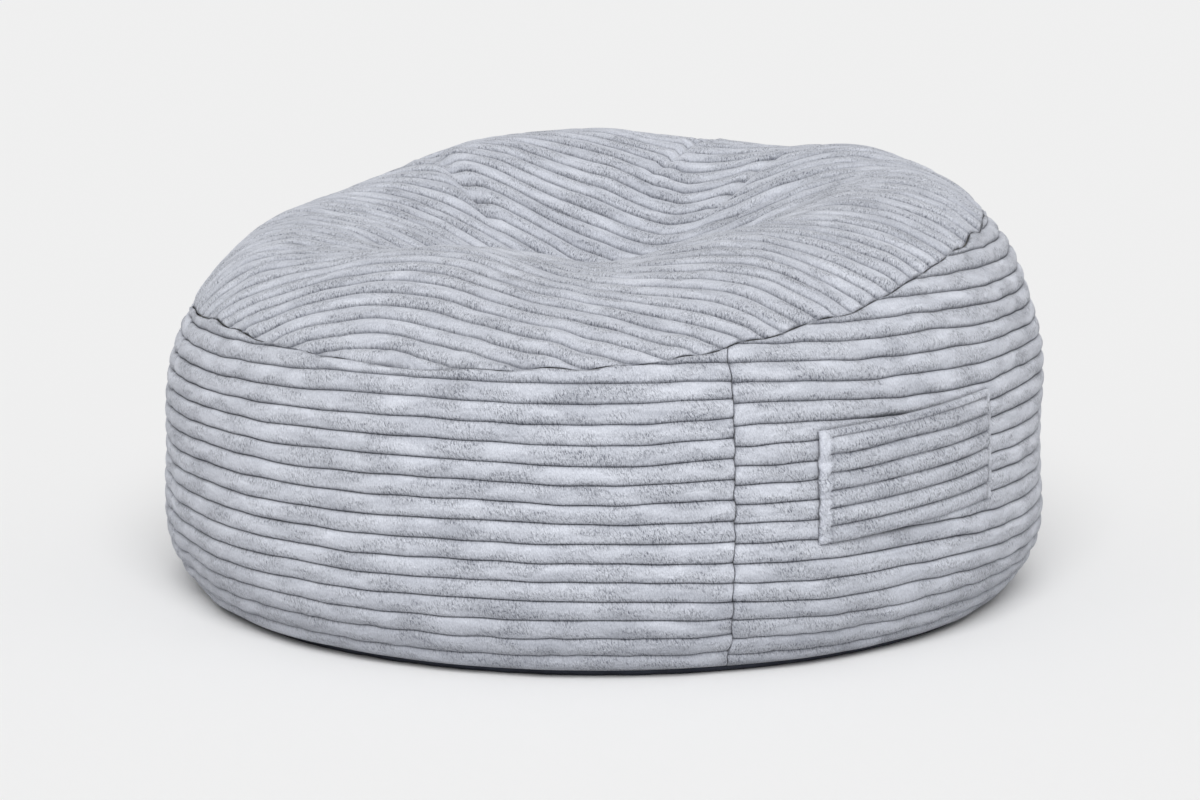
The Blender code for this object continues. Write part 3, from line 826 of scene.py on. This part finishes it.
def buildPocket():
    length, width, pitch = pocket["length"], pocket["width"], pocket["pitch"]
    rows = ribRows(0.0, length, pitch)
    rows = np.concatenate([[0.0, 0.001], rows[rows > 0.002], [length]])
    columns = denseColumns(pocket["columns"], pocket["edgeGain"])
    place, across = np.meshgrid(rows, columns, indexing="ij")
    side = np.minimum(across, 1 - across) * width
    low = np.minimum(side, place)
    strip = np.clip((side - pocket["strip"]) / 0.002, 0, 1)
    hem = np.clip((length - pocket["hem"] - place) / 0.002, 0, 1)
    spot = np.stack([across * width, place], -1)
    ragged = across + pocket["ragged"] * waves(spot, pocket["raggedLength"], 83) * np.exp(-side / 0.02)
    bent = place + pocket["bend"] * waves(spot, pocket["bendLength"], 81)
    beads = ribRise(bent + 0.4 * pitch, pitch) * (0.8 + 0.3 * waves(spot * [2, 1], 0.012, 82))
    lift = pocket["ribHeight"] * ribRise(bent, pitch) * strip * hem
    beaded = pocket["stripRise"] + pocket["beadRise"] * beads
    lift += beaded * rounded(side, pocket["stripRound"]) * (1 - strip)
    lift += pocket["hemRise"] * (1 - hem) * strip * rounded(length - place, pocket["hemRound"])
    edge = rounded(low, pocket["edgeRound"])
    points = pocketPoint(ragged, place / length, lift * edge - 0.0010 * (1 - edge))
    stitches = 0.55 + 0.45 * np.sin(place * 2 * math.pi / pocket["stitch"])
    # painted shade in the grooves, round the pocket's sewn edges, along the stitched strip and under the hem
    # fold
    grooveShade = np.maximum(ribAcross(bent, pitch) ** 8 * strip * hem, 0.8 * (1 - rounded(low, pocket["line"])))
    sideLine = np.exp(-(((side - pocket["strip"] - 0.001) / 0.0013) ** 2)) * hem
    hemLine = np.exp(-(((length - pocket["hem"] - 0.001 - place) / 0.0012) ** 2)) * strip
    grooveShade = np.maximum(grooveShade, np.maximum(stitches * sideLine, 0.8 * hemLine))
    # the pocket's darker, ruffled nap, with painted shade low on each rib
    napAndRibShade = np.clip(ribUnderShade(bent, pitch) + pocket["napAndRibShade"], 0, 1) * strip
    layers = dict(grooveShade=grooveShade, underShadeAndRuffle=napAndRibShade)
    aside = [7.0, 0.0]  # so that its pile differs from the wall's
    piece = gridObject("pocket_patch", points, spot + aside, layers, thickness=pocket["clothThickness"])
    finish(piece, "plush", "bag", "plush_cord", "side_pocket")
    print("pocket patch", len(piece.data.vertices), "points")


# The base: two dark halves with a turned-up edge, and the zip between them

aboveBase = (0.0, 0.0, 0.3)  # the flat pieces below it face down
base = dict(
    slotHalf=0.0060, zipHalf=0.388, slotFade=0.006, closedHalf=0.0003, thickness=0.0016, columns=121, rows=44,
    rimInset=0.0044, lip=0.009, lipHeight=0.0085, wrinkle=0.0006, wrinkleLength=0.045, wrinkleFade=0.02,
    floorGap=0.0001, stand=0.0007, flat=(1.03, 0.52), area=0.42,
)


def halfRound(side, count):  # angles round the back half or the front half
    return np.radians(np.linspace(-90, 90, count) + (180 if side > 0 else 0))


def buildBaseHalf(name, node, side):  # side: 1 for the back, -1 for the front
    share = np.linspace(0, 1, base["rows"]) ** 0.8
    down, turn = np.meshgrid(share, halfRound(side, base["columns"]), indexing="ij")
    rim = wallRadius(np.degrees(turn), form["hemHeight"]) - base["rimInset"]
    rimX, rimY = rim * np.sin(turn), -rim * np.cos(turn)
    slot = base["slotHalf"] * np.clip((base["zipHalf"] - np.abs(rimX)) / base["slotFade"], 0, 1)
    innerY = side * np.minimum(slot + base["closedHalf"], np.abs(rimY))
    x, y = rimX, innerY + (rimY - innerY) * down
    edge = rim - np.hypot(x, y)
    lift = base["lipHeight"] * (1 - rounded(edge, base["lip"]))
    plan = np.stack([x, y], -1)
    wrinkle = base["wrinkle"] * waves(plan, base["wrinkleLength"], 91) + base["stand"]
    fromSlot = np.clip(np.abs(y - innerY) / base["wrinkleFade"], 0, 1)
    points = np.stack([x, y, np.maximum(base["floorGap"], wrinkle * fromSlot) + lift], -1)
    piece = gridObject(name, points, plan, inside=aboveBase, thickness=base["thickness"])
    finish(piece, "base", "bag", "base_cloth", node)


tape = dict(columns=241, rows=9, ribs=0.00012, ribLength=0.006, thickness=0.0005)


def buildTape(name, node):
    low, high = (np.array(corner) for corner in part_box(node))
    share = np.linspace(0, 1, tape["columns"])
    across = np.linspace(0, 1, tape["rows"])
    v, u = np.meshgrid(across, share, indexing="ij")
    x = low[0] + (high[0] - low[0]) * u
    y = low[1] + (high[1] - low[1]) * v
    z = low[2] + tape["ribs"] * (1 + np.sin(x * 2 * math.pi / tape["ribLength"])) * np.sin(math.pi * v)
    piece = gridObject(name, np.stack([x, y, z], -1), np.stack([x, y], -1), inside=aboveBase,
                       thickness=tape["thickness"])
    finish(piece, "tape", "bag", "zip_tape", node)


coil = dict(pitch=0.0018, wire=0.00026, pointsPerTurn=8)


def buildCoil(name, node):
    low, high = (np.array(corner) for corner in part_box(node))
    turns = int((high[0] - low[0]) / coil["pitch"])
    count = turns * coil["pointsPerTurn"]
    turn = np.arange(count) * 2 * math.pi / coil["pointsPerTurn"]
    middle, half = (low + high) / 2, (high - low) / 2 - coil["wire"]
    x = low[0] + coil["wire"] + (high[0] - low[0] - 2 * coil["wire"]) * np.arange(count) / (count - 1)
    y = middle[1] + half[1] * np.cos(turn)
    z = middle[2] + half[2] * np.sin(turn)
    curve = bpy.data.curves.new(name, "CURVE")
    curve.dimensions = "3D"
    curve.bevel_depth = coil["wire"]
    curve.bevel_resolution = 0
    curve.use_fill_caps = True
    spline = curve.splines.new("POLY")
    spline.points.add(count - 1)
    spline.points.foreach_set("co", np.stack([x, y, z, np.ones(count)], -1).ravel())
    holder = bpy.data.objects.new(name + "Path", curve)
    bpy.context.scene.collection.objects.link(holder)
    graph = bpy.context.evaluated_depsgraph_get()
    mesh = bpy.data.meshes.new_from_object(holder.evaluated_get(graph))
    bpy.data.objects.remove(holder)
    bm = bmesh.new()
    bm.from_mesh(mesh)
    bmesh.ops.remove_doubles(bm, verts=bm.verts, dist=0.00001)
    piece = meshObject(name, bm)
    finish(piece, "coil", "bag", "zip_coil", node)


slider = dict(
    plate=0.0014, narrow=0.62, rim=0.00035, corner=0.0016, postEnds=(0.0042, 0.0012), postHalf=0.0005,
    railEnds=(0.004, 0.002), railInner=0.0039, sharpAngle=40.0,
)


# a box with bevelled rims; narrow draws in its -X end, and corner rounds its upright edges
def roundedBlock(bm, low, high, narrow=1.0, corner=0.0, rim=0.0001):
    low, high = Vector(low), Vector(high)
    made = bmesh.ops.create_cube(bm, size=1.0, matrix=Matrix.Translation((low + high) / 2))
    verts = made["verts"]
    bmesh.ops.scale(bm, verts=verts, vec=high - low, space=Matrix.Translation(-(low + high) / 2))
    for vert in verts:
        if vert.co.x < (low.x + high.x) / 2:
            vert.co.y *= narrow
    edges = {edge for vert in verts for edge in vert.link_edges}
    upright = [e for e in edges if abs(e.verts[0].co.z - e.verts[1].co.z) > 0.4 * (high.z - low.z)
               and abs(e.verts[0].co.x - e.verts[1].co.x) < 1e-6]
    if corner:
        made = bmesh.ops.bevel(bm, geom=upright, offset=corner, affect="EDGES", segments=4, profile=0.5,
                               material=-1)
        verts = list({v for f in made["faces"] for v in f.verts} | {v for v in verts if v.is_valid})
    faces = {face for vert in verts if vert.is_valid for face in vert.link_faces}
    rims = [e for e in {edge for face in faces for edge in face.edges}
            if len(e.link_faces) == 2 and e.calc_face_angle(0) > 1.0]
    bmesh.ops.bevel(bm, geom=rims, offset=rim, affect="EDGES", segments=2, profile=0.5, material=-1)


def buildSlider(name, node, body):
    low, high = (Vector(corner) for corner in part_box(node))
    plate = slider["plate"]
    bm = bmesh.new()
    for bottom in (low.z, high.z - plate):
        roundedBlock(bm, (low.x, low.y, bottom), (high.x, high.y, bottom + plate), slider["narrow"],
                     slider["corner"], slider["rim"])
    inPlate = low.z + plate * 0.6
    postStart, postEnd = (high.x - end for end in slider["postEnds"])
    half = slider["postHalf"]
    roundedBlock(bm, (postStart, -half, inPlate), (postEnd, half, high.z - plate * 0.6))
    railStart, railEnd = low.x + slider["railEnds"][0], high.x - slider["railEnds"][1]
    for side in (-1, 1):
        edges = sorted((side * slider["railInner"], side * high.y))
        roundedBlock(bm, (railStart, edges[0], inPlate), (railEnd, edges[1], low.z + plate * 1.5))
    piece = meshObject(name, bm)
    piece.data.set_sharp_from_angle(angle=math.radians(slider["sharpAngle"]))
    finish(piece, "metal", body, "zip_metal", node)


# The care label: a blank satin tab caught in the rear seam

label = dict(
    angle=229.0, level=0.125, width=0.034, height=0.050, stand=0.0052, thickness=0.0005,
    columns=25, rows=33, curl=0.0022, ripple=0.0008, rippleTurn=5.0,
)


def buildLabel():
    u, v = np.meshgrid(np.linspace(-0.5, 0.5, label["columns"]), np.linspace(-0.5, 0.5, label["rows"]))
    angle = label["angle"] + np.degrees(u * label["width"] / form["bagRadius"])
    height = label["level"] + v * label["height"]
    curl = label["curl"] * (u + 0.5) ** 2 + label["ripple"] * np.sin((v + 0.5) * label["rippleTurn"])
    curl += softLump(wallPoints(angle, height, 0.0))
    points = wallPoints(angle, height, label["stand"] + curl) + wallSwelling(angle, height)
    uv = np.stack([u * label["width"], v * label["height"]], -1)
    piece = gridObject("blank_care_label", points, uv, thickness=label["thickness"])
    finish(piece, "label", "bag", "label", "care_label")


# The liner and its filling, inside the cover

liner = dict(
    depth=0.0058, thickness=0.0006, baseLevel=0.0087, wrinkle=0.0002, wrinkleLength=0.05, seed=101,
    wallColumns=181, wallRows=46, topGap=0.006, lumpFade=0.12, wallFlat=(3.40, 0.42),
    topCount=90, topScale=0.988, topFlat=(1.09, 1.09), topArea=0.92,
    baseColumns=91, baseRows=30, baseInset=0.008,
)


def linerWrinkle(points, sheet):  # sheet: 0 for the wall, 1 for the top, 2 for the base
    return liner["wrinkle"] * waves(points, liner["wrinkleLength"], liner["seed"] + sheet)


def buildLinerWall():
    angles = np.linspace(0, 360, liner["wallColumns"])
    share = np.linspace(0, 1, liner["wallRows"])
    v, angle = np.meshgrid(share, angles, indexing="ij")
    height = liner["baseLevel"] + v * (seamHeight(angle) - liner["topGap"] - liner["baseLevel"])
    surface = wallPoints(angle, height, 0.0)
    fade = np.clip((1 - v) / liner["lumpFade"], 0, 1) * np.clip(v / liner["lumpFade"], 0, 1)
    offset = linerWrinkle(surface, 0) + softLump(surface) * fade - liner["depth"]
    points = wallPoints(angle, height, offset) + wallSwelling(angle, height)
    uv = np.stack([np.radians(angle), v], -1)
    piece = gridObject("liner_wall_sheet", points, uv, thickness=liner["thickness"])
    finish(piece, "liner", "bag", "liner_cloth", "liner_wall")


def buildLinerTop():
    plan, _ = seatLayout(np.linspace(0, 1, liner["topCount"]), liner["topCount"])
    x, y = plan[..., 0] * liner["topScale"], plan[..., 1] * liner["topScale"]
    surface = np.stack([x, y, seatHeight(x, y)], -1)
    offset = linerWrinkle(surface, 1) + softLump(surface) - liner["depth"]
    points = surface + seatNormals(x, y) * offset[..., None] + seatSwelling(x, y)
    piece = gridObject("liner_top_sheet", points, plan, thickness=liner["thickness"])
    finish(piece, "liner", "bag", "liner_cloth", "liner_top")


def buildLinerBase(name, node, side):
    low, high = (np.array(corner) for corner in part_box(node))
    cut = high[1] if side < 0 else low[1]
    share = np.linspace(0, 1, liner["baseRows"])
    v, turn = np.meshgrid(share, halfRound(side, liner["baseColumns"]), indexing="ij")
    rim = footRadius(np.degrees(turn)) - liner["baseInset"]
    x = rim * np.sin(turn)
    rimY = cut + side * np.maximum(0.0, side * (-rim * np.cos(turn) - cut))  # stops at the zip
    y = cut + (rimY - cut) * v
    plan = np.stack([x, y], -1)
    points = np.stack([x, y, liner["baseLevel"] + linerWrinkle(plan, 2)], -1)
    piece = gridObject(name, points, plan, inside=aboveBase, thickness=liner["thickness"])
    finish(piece, "liner", "bag", "liner_cloth", node)


filling = dict(
    depth=0.0092, level=0.0140, topGap=0.012, crumb=0.024, relief=0.0035, crack=2.5, segments=(200, 130),
)


def buildFilling():
    bm = bmesh.new()
    columns, rings = filling["segments"]
    bmesh.ops.create_uvsphere(bm, u_segments=columns, v_segments=rings, radius=1.0)
    turn, share = sphereSpots(bm)
    points = bagShape(turn, share, filling["depth"], filling["level"], filling["topGap"])
    points += swelling(turn, share)
    for vert, point, soft in zip(bm.verts, points, softLump(points)):
        place = Vector(point)
        away = (place - Vector(form["middle"])).normalized()
        near, _ = noise.voronoi(place / filling["crumb"])
        crack = min(1.0, (near[1] - near[0]) * filling["crack"])
        vert.co = place + away * (min(soft, 0.0) - filling["relief"] * (1 - crack) ** 2)
        vert.co.z = max(vert.co.z, filling["level"])
    bmesh.ops.recalc_face_normals(bm, faces=bm.faces)
    piece = meshObject("foam_filling", bm)
    finish(piece, "foam", "bag", "filling", "filling")
    print("filling", len(piece.data.vertices), "points")


# Floor, light and camera

studio = dict(
    floorSize=600.0, floorColour=(0.885, 0.885, 0.885), floorRoughness=0.95, world=0.42,
    keyPower=2.58, keyAngle=45.0, keyPlace=(1.75, -2.95, 3.4),
    cameraPlace=(1.6725, -2.9049, 0.783), cameraAim=(-0.0035, -0.002, 0.218), lens=81.3, sensor=36.0,
    clipEnd=900.0,
)


def aimed(name, data, place, target):
    thing = bpy.data.objects.new(name, data)
    thing.location = place
    thing.rotation_euler = (Vector(target) - Vector(place)).to_track_quat("-Z", "Y").to_euler()
    bpy.context.scene.collection.objects.link(thing)
    return thing


def buildStudio():
    bm = bmesh.new()
    bmesh.ops.create_grid(bm, x_segments=2, y_segments=2, size=studio["floorSize"] / 2)
    floor = meshObject("studio_floor", bm, smooth=False)
    paint = bpy.data.materials.new("studioFloor")
    paint.use_nodes = True
    shader = paint.node_tree.nodes["Principled BSDF"]
    shader.inputs["Base Color"].default_value = (*studio["floorColour"], 1)
    shader.inputs["Roughness"].default_value = studio["floorRoughness"]
    shader.inputs["Specular IOR Level"].default_value = 0.0
    floor.data.materials.append(paint)
    world = bpy.data.worlds.new("studioWorld")
    world.use_nodes = True
    world.node_tree.nodes["Background"].inputs["Color"].default_value = (1.0, 1.0, 1.0, 1)
    world.node_tree.nodes["Background"].inputs["Strength"].default_value = studio["world"]
    bpy.context.scene.world = world
    sun = bpy.data.lights.new("keyLight", "SUN")
    sun.energy = studio["keyPower"]
    sun.angle = math.radians(studio["keyAngle"])
    aimed("keyLight", sun, studio["keyPlace"], form["middle"])
    lens = bpy.data.cameras.new("mainCamera")
    lens.lens = studio["lens"]
    lens.sensor_width = studio["sensor"]
    lens.clip_end = studio["clipEnd"]
    bpy.context.scene.camera = aimed("mainCamera", lens, studio["cameraPlace"], studio["cameraAim"])
    bpy.context.scene.view_settings.view_transform = "Standard"


buildStudio()
print("studio ready")
swellTable = simulateSwelling()
buildSeat()
for name, node, centre, ribShift, hemShade in (
    ("front_cover", "wall_panel_front", 0, 0.0, 0.55),
    ("pocket_side_cover", "wall_panel_pocket_side", 90, -0.0038, 0.85),
    ("back_cover", "wall_panel_back", 180, 0.0040, 0.55),
    ("other_side_cover", "wall_panel_other_side", 270, 0.0020, 0.70),
):
    buildWallPanel(name, node, centre, ribShift, hemShade)
buildPocket()
buildBaseHalf("base_cloth_front", "base_panel_front", -1)
buildBaseHalf("base_cloth_back", "base_panel_back", 1)
for prefix in ("base", "liner"):
    for half in ("front", "back"):
        buildTape(f"{prefix}_tape_{half}", f"{prefix}_zip_tape_{half}")
        buildCoil(f"{prefix}_coil_{half}", f"{prefix}_zip_coil_{half}")
    buildSlider(f"{prefix}_slider_body", f"{prefix}_zip_slider", f"{prefix}_slider")
    for end in ("left", "right"):
        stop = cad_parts[f"{prefix}_zip_stop_{end}"]
        if not stop.material_slots:
            stop.data.materials.append(finishes["metal"])
        for slot in stop.material_slots:
            slot.material = finishes["metal"]
print("base and zips ready")
buildLabel()
buildLinerTop()
buildLinerWall()
buildLinerBase("liner_base_sheet_front", "liner_base_front", -1)
buildLinerBase("liner_base_sheet_back", "liner_base_back", 1)
buildFilling()
